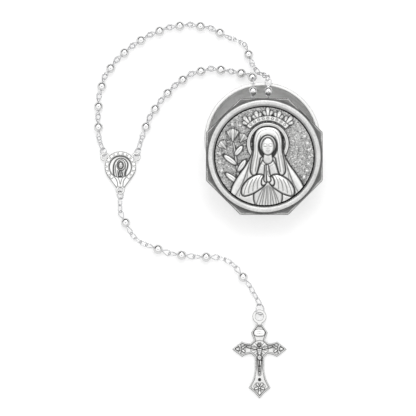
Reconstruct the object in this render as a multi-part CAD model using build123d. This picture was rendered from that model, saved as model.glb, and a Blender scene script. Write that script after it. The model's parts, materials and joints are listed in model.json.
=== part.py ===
"""Metal rosary box: a round dish, an octagonal lift-off lid with a relief medallion, and the rosary kept in it.

Millimetres. +Z is up, the origin is the centre of the dish's flat underside, and +Y is the side where the rosary
runs out over the dish's rim. The lid lies slid towards -Y and tipped, so the dish stands open at +Y.
"""

from build123d import *
import os
from math import asin, cos, degrees, radians, sin, tan

# ---- Dish -----------------------------------------------------------------------------------------
DISH_HEIGHT = 10.0
DISH_RIM_RADIUS = 25.1
DISH_WALL = 1.2
DISH_RIM_WIDTH = 1.6
DISH_RIM_DEPTH = 1.5
DISH_FLOOR = 1.0
DISH_INNER_FILLET = 4.0
DISH_OUTER_FILLET = 3.0
DISH_EDGE_ROUND = 0.35

# ---- Lid ------------------------------------------------------------------------------------------
LID_ACROSS_FLATS = 50.2
LID_FLANGE = 2.2
LID_EDGE_CHAMFER = 0.45
COLLAR_CLEARANCE = 0.3
COLLAR_DEPTH = 3.0
COLLAR_WALL = 1.2
MEDAL_EDGE_MARGIN = 0.7
MEDAL_CLEARANCE = 0.15
MEDAL_POCKET_DEPTH = 0.8
MEDAL_PROUD = 1.2
MEDAL_RIM_WIDTH = 2.2
MEDAL_FIELD_DROP = 0.9
MEDAL_GROOVE_WIDTH = 0.5
MEDAL_GROOVE_DEPTH = 0.25
MEDAL_RIM_ROUND = 0.4
RELIEF_LOW = 0.35
RELIEF_MID = 0.65
RELIEF_HIGH = 0.95
LADY_X = 1.5
LADY_HEAD_Y = 5.4
VEIL_HALF_WIDTH = 5.4
HALO_RADIUS = 9.0
HALO_WIDTH = 1.1
CROWN_RADIUS = 11.2
LILY_X = -12.0

# ---- How the lid lies -----------------------------------------------------------------------------
LID_TIP_DEG = 7.0
LID_SLID_X = 0.7
LID_SLID_Y = -8.2
LID_REST_GAP = 0.1

# ---- Beads, pins and links ------------------------------------------------------------------------
BEAD_RADIUS = 2.0
BEAD_WALL = 0.35
BEAD_BORE_RADIUS = 0.5
WIRE = 0.45
EYE_RADIUS = 1.35
NECK_LENGTH = -0.3
EYE_LENGTH = 3.7
LINK_LENGTH = 4.0
LINK_WIDTH = 2.5
RING_WIRE = 0.5
LUG_RING_RADIUS = 1.75
CROSS_RING_RADIUS = 2.35
LINKS_PER_GAP = 3
LINKS_OVER_RIM = 6
WIRE_PLAY = 0.05
RING_PLAY = 0.4
TABLE_PLAY = 0.03
TWIST_DEG = 45.0

# ---- Centrepiece ----------------------------------------------------------------------------------
CENTRE_X = -61.5
CENTRE_Y = -10.5
CENTRE_RADIUS = 6.8
CENTRE_THICK = 1.8
CENTRE_BORDER = 1.9
CENTRE_FIELD_DEPTH = 0.8
STUD_COUNT = 15
STUD_INSET = 1.0
STUD_RADIUS = 0.55
STUD_RISE = 0.3
STUD_ARC_DEG = 280.0
LUG_REACH = 1.3
LUG_ANGLE_DEG = 33.0
TAIL_REACH = 3.5
LUG_RADIUS = 1.9
LUG_HOLE = 1.15
LUG_THICK = 0.5
LUG_LIFT = 1.27
LUG_UNDERCUT = 0.3
TAIL_HALF_WIDTH = 1.8

# ---- Crucifix -------------------------------------------------------------------------------------
CROSS_X = -1.4
CROSS_Y = -90.3
CROSS_PLATE = 0.9
CROSS_BORDER = 0.5
CROSS_BORDER_WIDTH = 0.55
CROSS_ARM = 11.6
CROSS_HEAD = 10.3
CROSS_FOOT = 21.2
CROSS_EYE_Y = 14.0
CROSS_EYE_OUTER = 3.0
CROSS_EYE_INNER = 1.75
CROSS_EYE_THICK = 0.6
CROSS_EYE_LIFT = 1.5
NIMBUS_RADIUS = 4.3
NIMBUS_GAP = 3.9
PEG_HOLE_RADIUS = 0.4
PEG_HOLE_Y = -13.2
CORPUS_SEAT = 0.02

# ---- Worked out from the sizes above --------------------------------------------------------------
MOUTH_RADIUS = DISH_RIM_RADIUS - DISH_RIM_WIDTH
COLLAR_RADIUS = MOUTH_RADIUS - COLLAR_CLEARANCE
LID_THICK = COLLAR_DEPTH + LID_FLANGE
MEDAL_RADIUS = LID_ACROSS_FLATS / 2 - MEDAL_EDGE_MARGIN - MEDAL_CLEARANCE
MEDAL_SEAT_Z = LID_THICK - MEDAL_POCKET_DEPTH
MEDAL_THICK = MEDAL_POCKET_DEPTH + MEDAL_PROUD
FIELD_RADIUS = MEDAL_RADIUS - MEDAL_RIM_WIDTH
FIELD_Z = MEDAL_THICK - MEDAL_FIELD_DROP
CENTRE_FIELD_RADIUS = CENTRE_RADIUS - CENTRE_BORDER
STUD_CIRCLE = CENTRE_RADIUS - STUD_INSET
LUG_OUT = CENTRE_RADIUS + LUG_REACH
LUG_DROP = CENTRE_RADIUS + TAIL_REACH
WIRE_RADIUS = WIRE / 2
RING_WIRE_RADIUS = RING_WIRE / 2
EYE_NECK = BEAD_RADIUS + NECK_LENGTH
EYE_TIP = BEAD_RADIUS + EYE_LENGTH
LINK_TIP = (LINK_LENGTH - WIRE) / 2
HOOK = WIRE + WIRE_PLAY
LINK_PITCH = 2 * LINK_TIP - HOOK
PIN_PITCH = 2 * EYE_TIP - HOOK
LINK_Z = (LINK_WIDTH - WIRE) / 2 * sin(radians(TWIST_DEG)) + WIRE_RADIUS + TABLE_PLAY
UP = Vector(0, 0, 1)


def rod(start, end, radius):
    """A round bar from one point to another."""
    run = end - start
    bar = Cylinder(radius, run.length, align=(Align.CENTER, Align.CENTER, Align.MIN))
    return Plane(origin=start, z_dir=run).location * bar


def upright(width, depth, height, base=0.0):
    """A block that stands on a level."""
    block = Box(width, depth, height, align=(Align.CENTER, Align.CENTER, Align.MIN))
    return Pos(0, 0, base) * block


def disc(radius, height, base=0.0):
    """A round plate that stands on a level."""
    plate = Cylinder(radius, height, align=(Align.CENTER, Align.CENTER, Align.MIN))
    return Pos(0, 0, base) * plate


def raised(outline, height, base=0.0):
    """A flat outline stood up from a level."""
    return Pos(0, 0, base) * extrude(outline, height)


def save(name, shape):
    export_step(shape, f"parts/{name}.step")


# ---- Dish: one spun sheet-metal cup with a rolled rim ------------------------------------------------
def dish():
    wall = MOUTH_RADIUS + DISH_WALL
    rim_low = DISH_HEIGHT - DISH_RIM_DEPTH
    with BuildSketch(Plane.XZ) as outside:
        with BuildLine():
            Polyline((0, 0), (wall, 0), (wall, rim_low), (DISH_RIM_RADIUS, rim_low),
                     (DISH_RIM_RADIUS, DISH_HEIGHT), (0, DISH_HEIGHT), (0, 0))
        make_face()
        corners = outside.vertices()
        fillet(corners.filter_by_position(Axis.X, wall - 0.01, wall + 0.01).sort_by(Axis.Y)[0], DISH_OUTER_FILLET)
        rim = outside.vertices().filter_by_position(Axis.X, DISH_RIM_RADIUS - 0.01, DISH_RIM_RADIUS + 0.01)
        fillet(rim, DISH_EDGE_ROUND)
    with BuildSketch(Plane.XZ) as inside:
        with BuildLine():
            Polyline((0, DISH_FLOOR), (MOUTH_RADIUS, DISH_FLOOR), (MOUTH_RADIUS, DISH_HEIGHT),
                     (0, DISH_HEIGHT), (0, DISH_FLOOR))
        make_face()
        low = inside.vertices().filter_by_position(Axis.X, MOUTH_RADIUS - 0.01, MOUTH_RADIUS + 0.01)
        fillet(low.sort_by(Axis.Y)[0], DISH_INNER_FILLET)
    cup = revolve(outside.sketch, Axis.Z) - revolve(inside.sketch, Axis.Z)
    lip = cup.edges().filter_by(GeomType.CIRCLE).group_by(Axis.Z)[-1].sort_by(SortBy.RADIUS)[0]
    return fillet(lip, DISH_EDGE_ROUND)


# ---- Lid: a cast octagon with a round collar below and a round pocket above ---------------------------
def lid_place():
    """Where the lid lies: the collar's underside crosses the dish's rim, clear of it by the rest gap."""
    inner = COLLAR_RADIUS - COLLAR_WALL
    slid = -LID_SLID_Y
    lowest_y = (inner**2 - DISH_RIM_RADIUS**2 - slid**2) / (2 * slid)
    rise = (LID_SLID_Y - lowest_y) * tan(radians(LID_TIP_DEG))
    return Pos(LID_SLID_X, LID_SLID_Y, DISH_HEIGHT + LID_REST_GAP + rise) * Rot(LID_TIP_DEG, 0, 0)


def lid_shell():
    flat = LID_ACROSS_FLATS / 2
    octagon = Rot(0, 0, 22.5) * RegularPolygon(flat, 8, major_radius=False)
    flange = raised(octagon, LID_FLANGE, COLLAR_DEPTH)
    flange = chamfer(flange.edges().group_by(Axis.Z)[-1], LID_EDGE_CHAMFER)
    pocket = disc(MEDAL_RADIUS + MEDAL_CLEARANCE, MEDAL_POCKET_DEPTH, MEDAL_SEAT_Z)
    collar = disc(COLLAR_RADIUS, COLLAR_DEPTH) - disc(COLLAR_RADIUS - COLLAR_WALL, COLLAR_DEPTH)
    return flange - pocket + collar


def arch(half_width, foot_y, shoulder_y, top_y):
    """A hooded outline: straight foot, sides that lean in to the shoulder, and a round top."""
    with BuildSketch() as hood:
        with BuildLine():
            foot = Line((-half_width, foot_y), (half_width, foot_y))
            right = Line(foot @ 1, (half_width * 0.62, shoulder_y))
            over = ThreePointArc(right @ 1, (0, top_y), (-half_width * 0.62, shoulder_y))
            Line(over @ 1, foot @ 0)
        make_face()
    return hood.sketch


def crown_outline(radius, band, points, rise, arc_deg):
    """A curved crown: a band along an arc with rounded points on it."""
    crown = Sketch() + [
        Pos(0, 0, 0)
        * Rot(0, 0, 90 + arc_deg * (n / (points - 1) - 0.5))
        * Pos(radius + rise * 0.45, 0)
        * Ellipse(rise * 0.75, rise * 0.42)
        for n in range(points)
    ]
    ring = Circle(radius + band / 2) - Circle(radius - band / 2)
    wedge = Polygon(
        (0, 0),
        (4 * radius * cos(radians(90 - arc_deg / 2)), 4 * radius * sin(radians(90 - arc_deg / 2))),
        (4 * radius * cos(radians(90 + arc_deg / 2)), 4 * radius * sin(radians(90 + arc_deg / 2))),
        align=None,
    )
    return crown + (ring & wedge)


# The medallion is struck in one piece: rim, sunk field, and a veiled lady with a crown and a lily spray.
def relief():
    field = Circle(FIELD_RADIUS - MEDAL_GROOVE_WIDTH)
    mantle = Pos(LADY_X, 0) * arch(16.0, -FIELD_RADIUS, LADY_HEAD_Y - 6.5, LADY_HEAD_Y + 1.0)
    veil = Pos(LADY_X, LADY_HEAD_Y) * Ellipse(VEIL_HALF_WIDTH, VEIL_HALF_WIDTH * 1.28)
    face = Pos(LADY_X, LADY_HEAD_Y - 0.9) * Ellipse(2.7, 3.6)
    halo = Pos(LADY_X, LADY_HEAD_Y) * (Circle(HALO_RADIUS) - Circle(HALO_RADIUS - HALO_WIDTH))
    crown = Pos(LADY_X, LADY_HEAD_Y) * crown_outline(CROWN_RADIUS, 1.4, 5, 3.0, 96.0)
    hands = Pos(LADY_X - 0.6, -7.6) * Rot(0, 0, 8) * Ellipse(1.7, 4.2)
    sleeves = [
        Pos(LADY_X + side * 5.2, -11.2) * Rot(0, 0, -side * 38) * Ellipse(6.4, 2.6) for side in (-1, 1)
    ]
    stem = Pos(LILY_X, -4.0) * Rot(0, 0, 6) * Rectangle(0.7, 17.0)
    blooms = [
        Pos(LILY_X + x, y) * Rot(0, 0, turn) * Ellipse(1.35, 2.5)
        for x, y, turn in ((-1.0, 6.6, 8), (-3.2, 1.8, 42), (1.9, 2.4, -36), (-3.0, -4.2, 48))
    ]
    layers = (
        (RELIEF_LOW, [halo, crown, stem]),
        (RELIEF_MID, [mantle, *blooms]),
        (RELIEF_HIGH, [veil, face, hands, *sleeves]),
    )
    solids = []
    for height, outlines in layers:
        for outline in outlines:
            solids.append(raised(outline & field, height + MEDAL_GROOVE_DEPTH, FIELD_Z - MEDAL_GROOVE_DEPTH))
    return solids


def medallion():
    body = disc(MEDAL_RADIUS, MEDAL_THICK)
    body = fillet(body.edges().group_by(Axis.Z)[-1], MEDAL_RIM_ROUND)
    body -= disc(FIELD_RADIUS, MEDAL_FIELD_DROP, FIELD_Z)
    groove = disc(FIELD_RADIUS, MEDAL_GROOVE_DEPTH, FIELD_Z - MEDAL_GROOVE_DEPTH)
    groove -= disc(FIELD_RADIUS - MEDAL_GROOVE_WIDTH, MEDAL_GROOVE_DEPTH, FIELD_Z - MEDAL_GROOVE_DEPTH)
    body -= groove
    for figure in relief():
        body += figure
    return Pos(0, 0, MEDAL_SEAT_Z) * body


# ---- Rosary pieces, each along X at the origin --------------------------------------------------------
def bead():
    """A hollow seamless ball, bored along X."""
    bore = rod(Vector(-2 * BEAD_RADIUS, 0, 0), Vector(2 * BEAD_RADIUS, 0, 0), BEAD_BORE_RADIUS)
    return Sphere(BEAD_RADIUS) - Sphere(BEAD_RADIUS - BEAD_WALL) - bore


def wire_eye(turn):
    """One teardrop eye at the +X end of a pin, in a plane turned about X."""
    centre = EYE_TIP - EYE_RADIUS
    reach = centre - EYE_NECK
    lean = degrees(asin(EYE_RADIUS / reach))
    sweep = 180 + 2 * lean
    arc = Torus(EYE_RADIUS, WIRE_RADIUS, major_angle=sweep, align=None)
    loop = Pos(centre, 0, 0) * Rot(0, 0, -sweep / 2) * arc
    neck = Vector(EYE_NECK, 0, 0)
    for side in (-1, 1):
        touch = Vector(centre - EYE_RADIUS * sin(radians(lean)), side * EYE_RADIUS * cos(radians(lean)), 0)
        loop += rod(neck, touch, WIRE_RADIUS)
    loop += Pos(EYE_NECK, 0, 0) * Sphere(WIRE_RADIUS)
    return Rot(turn, 0, 0) * loop


def eye_pin():
    """A straight wire through a bead with an eye at each end, the two eyes a quarter turn apart."""
    shank = rod(Vector(-EYE_NECK, 0, 0), Vector(EYE_NECK, 0, 0), WIRE_RADIUS)
    return shank + wire_eye(-TWIST_DEG) + Rot(0, 0, 180) * wire_eye(-TWIST_DEG)


def link():
    """An oval link, long way along X, lying in a plane turned about X."""
    bend = (LINK_WIDTH - WIRE) / 2
    straight = LINK_TIP - bend
    side = rod(Vector(-straight, bend, 0), Vector(straight, bend, 0), WIRE_RADIUS)
    half = Pos(straight, 0, 0) * Rot(0, 0, -90) * Torus(bend, WIRE_RADIUS, major_angle=180, align=None) + side
    return Rot(TWIST_DEG, 0, 0) * (half + Rot(0, 0, 180) * half)


def jump_ring(radius):
    return Rot(TWIST_DEG, 0, 0) * Torus(radius, RING_WIRE_RADIUS)


def laid(point, heading, roll=0.0):
    """The place of a piece: its X along the heading and its Z up, then rolled about X."""
    side = UP.cross(heading).normalized()
    top = heading.cross(side).normalized()
    return Plane(origin=point, x_dir=heading, z_dir=top).location * Rot(roll, 0, 0)


# ---- How the rosary lies: the hooks between its pieces along each strand, chosen by hand -----------------
DRAWN_PITCH = 10.9
MOUTH_Y = 24.0
FIRST_DECADE = [(-71.0, 3.1), (-71.3, 11.8), (-70.9, 20.8), (-68.6, 29.4), (-63.3, 37.0), (-56.4, 43.4),
                (-48.6, 48.4), (-40.1, 51.7), (-31.1, 52.8), (-22.3, 51.3), (-14.3, 46.9)]
FIRST_FATHER = [(-14.3, 46.9), (-11.1, 45.9), (-7.4, 43.7)]
FATHER_END = (-4.2, 35.2)
LAST_DECADE = [(-4.7, 30.0), (-13.5, 31.9), (-21.7, 33.1), (-29.8, 31.2), (-37.1, 26.3), (-43.3, 19.7),
               (-48.4, 12.2), (-52.0, 2.9)]
DROP_UPPER = [(-61.5, -30.6), (-56.7, -39.9)]
DROP_TURN = [(-56.7, -39.9), (-53.7, -43.1), (-50.0, -45.0)]
DROP_MIDDLE = [(-50.0, -45.0), (-40.1, -48.8), (-29.6, -50.2), (-19.0, -50.5)]
DROP_BEND = [(-19.0, -50.5), (-15.1, -51.9), (-11.5, -54.8)]
DROP_LOWER = [(-11.5, -54.8), (-5.3, -63.4)]
CROSS_RING_X = -1.1
CROSS_RING_Y = -73.2
CROSS_RING_PULL_DEG = 90.0

# The two strands go over the rim near +Y, and what is kept in the dish lies in a coil along its wall.
RIM_CLIMB = [(-2.7, 32.4, 2.2), (0.4, 29.6, 4.6), (2.3, 28.0, 8.9)]
RIM_IN = Vector(2.6, 26.1, DISH_HEIGHT + 0.9)
MOUTH_IN = Vector(2.6, 15.6, DISH_HEIGHT + 1.1)
MOUTH_OUT = Vector(-4.2, 15.65, DISH_HEIGHT + 1.0)
RIM_OUT = Vector(-3.8, 26.0, DISH_HEIGHT + 1.7)
RIM_FOOT = Vector(-4.7, 30.1, 2.1)
COIL_CENTRE = Vector(0, -1.2, 0)
COIL_START_DEG = 50.0
COIL_STEP_DEG = 30.0
# Turned angle, radius, and share of the way up from the floor to the lid's collar.
COIL_STATIONS = [
    (0, 15.8, 1.0),
    (320, 15.9, 0.53),
    (560, 16.6, 0.17),
    (680, 16.6, 0.0),
    (735, 13.9, 0.0),
    (860, 12.0, 0.0),
    (1220, 11.9, 0.85),
    (1290, 12.7, 1.15),
    (1355, 15.0, 1.02),
]
DECADE = 10


def drawn(x, y, z=BEAD_RADIUS):
    """A point of the strand on the table, which spreads from the dish's mouth as its beads and links grow."""
    grow = PIN_PITCH / DRAWN_PITCH
    return Vector(x * grow, MOUTH_Y + (y - MOUTH_Y) * grow, z)


def level(angle):
    return Vector(cos(radians(angle)), sin(radians(angle)), 0)


class Chain:
    """Beads and links hooked one after another, each eye or link a quarter turn from the last."""

    def __init__(self):
        self.quarter = 0
        self.pins = []
        self.links = []

    def lay(self, points, kinds, roll=0.0):
        """Pieces end to end along a smooth route, all eased by one share where the route is short of taut."""
        route = Spline(*points) if len(points) > 2 else Line(*points)
        spans = [PIN_PITCH if kind == "pin" else LINK_PITCH for kind in kinds]
        ease = route.length / sum(spans)
        along = 0.0
        start = points[0]
        for kind, span in zip(kinds, spans):
            along += span * ease
            end = route.position_at(along, PositionMode.LENGTH)
            place = laid((start + end) * 0.5, (end - start).normalized(), 90 * self.quarter + roll)
            if kind == "pin":
                self.pins.append(place)
            else:
                self.links.append(place)
                self.quarter = 1 - self.quarter
            start = end


def collar_underside(y):
    """The height of the collar's lowest face where the lid lies, at a distance along Y."""
    low = lid_place().position
    return low.Z + (y - low.Y) * tan(radians(LID_TIP_DEG))


def coil_point(turned):
    """A point of the coil: down beside the wall, in over the floor, and up again inside the first coil."""
    for before, after in zip(COIL_STATIONS, COIL_STATIONS[1:]):
        if turned <= after[0]:
            break
    share = (turned - before[0]) / (after[0] - before[0])
    radius = before[1] + (after[1] - before[1]) * share
    climb = before[2] + (after[2] - before[2]) * share
    floor = DISH_FLOOR + BEAD_RADIUS + TABLE_PLAY
    start = COIL_CENTRE + level(COIL_START_DEG) * COIL_STATIONS[0][1]
    top = collar_underside(start.Y) - BEAD_RADIUS / cos(radians(LID_TIP_DEG)) - LID_REST_GAP
    return COIL_CENTRE + level(COIL_START_DEG - turned) * radius + UP * (floor + (top - floor) * climb)


def coil():
    """From the hook inside the mouth round the coil and out to the mouth again."""
    last = COIL_STATIONS[-1][0]
    count = round(last / COIL_STEP_DEG)
    turns = [last * n / count for n in range(count + 1)]
    return [MOUTH_IN, *[coil_point(turned) for turned in turns], MOUTH_OUT]


def lug_centre(side):
    """The middle of a lug on the centrepiece: -1 left, 1 right, 0 the lower one."""
    if side == 0:
        return drawn(CENTRE_X, CENTRE_Y, 0) - Vector(0, LUG_DROP, 0)
    angle = LUG_ANGLE_DEG if side > 0 else 180 - LUG_ANGLE_DEG
    return drawn(CENTRE_X, CENTRE_Y, 0) + level(angle) * LUG_OUT


def ring_rest_z(radius):
    return radius * sin(radians(TWIST_DEG)) + RING_WIRE_RADIUS + TABLE_PLAY


def ring_at_lug(side, toward):
    """A jump ring drawn out of a lug towards a point: its centre, its heading and the hook at its far side."""
    lug = lug_centre(side)
    pull = Vector(toward.X - lug.X, toward.Y - lug.Y, 0).normalized()
    centre = lug + pull * (LUG_HOLE - RING_WIRE_RADIUS - RING_PLAY + LUG_RING_RADIUS)
    centre = centre + UP * ring_rest_z(LUG_RING_RADIUS)
    return centre, pull, centre + pull * (LUG_RING_RADIUS - HOOK / 2)


def lay_loop():
    """The closed loop of five decades, from the centrepiece's left ring round to its right ring."""
    chain = Chain()
    first = [drawn(*point) for point in FIRST_DECADE]
    centre, pull, hook = ring_at_lug(-1, first[0])
    left = laid(centre, pull, 90)
    chain.lay([hook, *first], ["link"] * 2 + ["pin"] * DECADE)
    father = [drawn(*point) for point in FIRST_FATHER]
    chain.lay(father, ["link"] * LINKS_PER_GAP)
    father_end = drawn(*FATHER_END)
    chain.lay([father[-1], father_end], ["pin"])
    chain.lay([father_end, *[Vector(*point) for point in RIM_CLIMB], RIM_IN], ["link"] * LINKS_OVER_RIM)
    chain.lay([RIM_IN, MOUTH_IN], ["pin"], TWIST_DEG)

    kinds = ["pin"] * (DECADE - 1)
    for decade in range(3):
        kinds += ["link"] * LINKS_PER_GAP + ["pin"] + ["link"] * LINKS_PER_GAP
        kinds += ["pin"] * (DECADE if decade < 2 else 1)
    chain.lay(coil(), kinds)

    chain.lay([MOUTH_OUT, RIM_OUT], ["pin"], TWIST_DEG)
    chain.lay([RIM_OUT, RIM_FOOT], ["pin"], TWIST_DEG)
    chain.quarter = 1 - chain.quarter
    last = [drawn(*point) for point in LAST_DECADE]
    centre, pull, hook = ring_at_lug(1, last[-1])
    chain.lay([RIM_FOOT, *last[1:]], ["pin"] * len(last[1:]))
    chain.lay([last[-1], hook], ["link"] * 2)
    right = laid(centre, pull * -1, 90 * chain.quarter)
    return chain, left, right


def lay_drop():
    """The drop from the lower lug: links, five beads, and the ring that carries the crucifix."""
    chain = Chain()
    upper, turn, middle, bend, lower = (
        [drawn(*point) for point in points]
        for points in (DROP_UPPER, DROP_TURN, DROP_MIDDLE, DROP_BEND, DROP_LOWER)
    )
    centre, pull, hook = ring_at_lug(0, upper[0])
    lug_ring = laid(centre, pull, 90)
    chain.lay([hook, upper[0]], ["link"] * 2)
    chain.lay(upper, ["pin"])
    chain.lay(turn, ["link"] * LINKS_PER_GAP)
    chain.lay(middle, ["pin"] * 3)
    chain.lay(bend, ["link"] * LINKS_PER_GAP)
    chain.lay(lower, ["pin"])
    ring_centre = drawn(CROSS_RING_X, CROSS_RING_Y, ring_rest_z(CROSS_RING_RADIUS))
    ring_pull = level(CROSS_RING_PULL_DEG)
    ring_hook = ring_centre + ring_pull * (CROSS_RING_RADIUS - HOOK / 2)
    chain.lay([lower[-1], ring_hook], ["link"] * LINKS_PER_GAP)
    return chain, lug_ring, laid(ring_centre, ring_pull * -1, 90 * chain.quarter)


# ---- Centrepiece: a cast oval medal with three lugs ----------------------------------------------------
def centrepiece():
    plate = disc(CENTRE_RADIUS, CENTRE_THICK)
    tail = Polygon(
        (-CENTRE_RADIUS * 0.8, -CENTRE_RADIUS * 0.6),
        (-TAIL_HALF_WIDTH, -LUG_DROP + LUG_RADIUS * 0.7),
        (TAIL_HALF_WIDTH, -LUG_DROP + LUG_RADIUS * 0.7),
        (CENTRE_RADIUS * 0.8, -CENTRE_RADIUS * 0.6),
        align=None,
    )
    plate += raised(tail, CENTRE_THICK)
    field_z = CENTRE_THICK - CENTRE_FIELD_DEPTH
    plate -= disc(CENTRE_FIELD_RADIUS, CENTRE_FIELD_DEPTH, field_z)
    bust = Pos(0, -3.6) * Ellipse(2.7, 3.4) & Circle(CENTRE_FIELD_RADIUS)
    veil = Pos(0, 0.8) * Ellipse(2.2, 2.9)
    face = Pos(0, 0.6) * Ellipse(1.2, 1.6)
    for outline, rise in ((bust, 0.6), (veil, 0.75), (face, 0.95)):
        plate += raised(outline, rise, field_z)
    for n in range(STUD_COUNT):
        angle = 90 + STUD_ARC_DEG * (n / (STUD_COUNT - 1) - 0.5)
        plate += Pos(level(angle) * STUD_CIRCLE) * disc(STUD_RADIUS, STUD_RISE, CENTRE_THICK)
    middle = drawn(CENTRE_X, CENTRE_Y, 0)
    for side in (-1, 0, 1):
        lug = lug_centre(side) - middle
        plate += Pos(lug) * disc(LUG_RADIUS, LUG_THICK, LUG_LIFT)
        plate -= Pos(lug) * disc(LUG_HOLE, 2 * CENTRE_THICK)
        if side != 0:
            plate -= Pos(lug) * disc(LUG_RADIUS + LUG_UNDERCUT, LUG_LIFT)
    return Pos(middle) * plate


# ---- Crucifix: a cast cross with a raised border, and a corpus pegged to it ----------------------------
def cross_outline():
    """Half of the outline from the neck down to the foot, mirrored: trefoil-pointed arms on a slim shaft."""
    with BuildSketch() as face:
        with BuildLine():
            top = Polyline((0, CROSS_HEAD), (1.3, CROSS_HEAD), (3.5, CROSS_HEAD - 3.1), (2.2, CROSS_HEAD - 6.5))
            shoulder = Line(top @ 1, (3.8, 2.4))
            arm_top = ThreePointArc(shoulder @ 1, (5.6, 2.5), (7.5, 3.2))
            arm_tip = Polyline(arm_top @ 1, (CROSS_ARM, 0), (7.5, -3.2))
            arm_low = ThreePointArc(arm_tip @ 1, (5.3, -2.2), (3.4, -1.9))
            waist = Line(arm_low @ 1, (1.95, -3.4))
            shaft = Line(waist @ 1, (1.95, -8.4))
            flare = ThreePointArc(shaft @ 1, (2.75, -12.9), (4.65, -16.6))
            foot = Polyline(flare @ 1, (2.0, -18.8), (0, -CROSS_FOOT))
            Line(foot @ 1, (0, CROSS_HEAD))
        make_face()
        mirror(about=Plane.YZ)
    return face.sketch


def crucifix():
    outline = cross_outline()
    inner = offset(outline, -CROSS_BORDER_WIDTH)
    body = raised(outline, CROSS_PLATE + CROSS_BORDER) - raised(inner, CROSS_BORDER, CROSS_PLATE)
    nimbus = Circle(NIMBUS_RADIUS) - Circle(NIMBUS_RADIUS - CROSS_BORDER_WIDTH)
    nimbus -= Rectangle(3 * NIMBUS_RADIUS, NIMBUS_GAP) + Rectangle(NIMBUS_GAP, 3 * NIMBUS_RADIUS)
    body += raised(nimbus & outline, CROSS_BORDER * 0.7, CROSS_PLATE)
    body -= Pos(0, PEG_HOLE_Y) * disc(PEG_HOLE_RADIUS, 2 * CROSS_PLATE)
    eye = disc(CROSS_EYE_OUTER, CROSS_EYE_THICK, CROSS_EYE_LIFT) - disc(CROSS_EYE_INNER, 4, 0)
    neck_length = CROSS_EYE_Y - CROSS_EYE_INNER - CROSS_HEAD - 0.3
    neck = Pos(0, CROSS_HEAD + neck_length / 2) * upright(2.0, neck_length, CROSS_EYE_LIFT + CROSS_EYE_THICK)
    body += neck
    return body + Pos(0, CROSS_EYE_Y) * eye


def capsule(start, end, radius):
    """A round-ended bar."""
    return rod(start, end, radius) + Pos(start) * Sphere(radius) + Pos(end) * Sphere(radius)


CORPUS_LIMBS = [
    ((0, 0.1, 0.95), (0, -1.7, 1.0), 0.95),
    ((0, -1.7, 1.0), (0, -4.1, 0.85), 0.75),
    ((-1.0, 0.0, 0.8), (-6.2, 1.3, 0.6), 0.42),
    ((1.0, 0.0, 0.8), (6.2, 1.3, 0.6), 0.42),
    ((-0.35, -4.1, 0.85), (-0.3, -7.4, 0.95), 0.5),
    ((0.35, -4.1, 0.85), (0.3, -7.4, 0.95), 0.5),
    ((-0.3, -7.4, 0.95), (0, -10.7, 0.5), 0.4),
    ((0.3, -7.4, 0.95), (0, -10.7, 0.5), 0.4),
]


def corpus():
    """The figure: head, trunk, arms and legs of round bars, cut flat where it lies on the cross."""
    figure = Pos(0.1, 1.7, 1.1) * Sphere(0.85)
    figure += capsule(Vector(0.05, 1.5, 1.0), Vector(0, 0, 0.95), 0.4)
    for start, end, radius in CORPUS_LIMBS:
        figure += capsule(Vector(*start), Vector(*end), radius)
    figure -= Pos(0, 0, -5) * upright(40, 40, 5)
    return Pos(0, 0, CROSS_PLATE + CORPUS_SEAT) * figure


# ---- Put together -------------------------------------------------------------------------------------
def copies(shape, places):
    return Compound(children=[place * shape for place in places])


def main():
    os.makedirs("parts", exist_ok=True)
    lid = lid_place()
    save("dish", dish())
    save("lid_shell", lid * lid_shell())
    save("lid_medallion", lid * medallion())

    ball = bead()
    pin = eye_pin()
    oval = link()
    loop, left_ring, right_ring = lay_loop()
    hidden = 3 * DECADE + 3
    shown = len(FIRST_DECADE) + 1
    groups = {
        "first_decade": loop.pins[:DECADE],
        "first_father": loop.pins[DECADE:shown],
        "mouth": loop.pins[shown:shown + 1] + loop.pins[shown + 1 + hidden:shown + 3 + hidden],
        "kept_outer": loop.pins[shown + 1:shown + 1 + hidden // 2],
        "kept_inner": loop.pins[shown + 1 + hidden // 2:shown + 1 + hidden],
        "last_decade": loop.pins[shown + 3 + hidden:],
    }
    for name, places in groups.items():
        save(f"{name}_beads", copies(ball, places))
        save(f"{name}_pins", copies(pin, places))
    runs = {"first_decade": 2, "first_father": LINKS_PER_GAP, "rim": LINKS_OVER_RIM, "kept": len(loop.links)}
    start = 0
    for name, count in runs.items():
        end = min(start + count, len(loop.links) - 2)
        save(f"{name}_links", copies(oval, loop.links[start:end]))
        start = end
    save("last_decade_links", copies(oval, loop.links[-2:]))
    save("left_jump_ring", left_ring * jump_ring(LUG_RING_RADIUS))
    save("right_jump_ring", right_ring * jump_ring(LUG_RING_RADIUS))
    save("centrepiece", centrepiece())

    drop, lower_ring, cross_ring = lay_drop()
    save("lower_jump_ring", lower_ring * jump_ring(LUG_RING_RADIUS))
    start = 0
    for n, place in enumerate(drop.pins, 1):
        save(f"drop_bead_{n}", place * ball)
        save(f"drop_pin_{n}", place * pin)
    for name, count in (("lug", 2), ("upper", LINKS_PER_GAP), ("lower", LINKS_PER_GAP), ("cross", LINKS_PER_GAP)):
        save(f"drop_{name}_links", copies(oval, drop.links[start:start + count]))
        start += count
    save("cross_jump_ring", cross_ring * jump_ring(CROSS_RING_RADIUS))
    cross = Pos(drawn(CROSS_X, CROSS_Y, 0))
    save("crucifix", cross * crucifix())
    save("corpus", cross * corpus())


main()
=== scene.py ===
"""A metal rosary box, with its finishes, its light and its camera.

A spun dish with an octagonal lid set aslant on it, a struck medallion in the lid, and the rosary that is
kept inside and runs out over the rim. Metres; sizes that end in MM are millimetres, scaled at their use.
"""

import bpy
import json
import numpy as np
from math import atan2, cos, pi, radians, sin
from mathutils import Matrix, Vector

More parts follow.
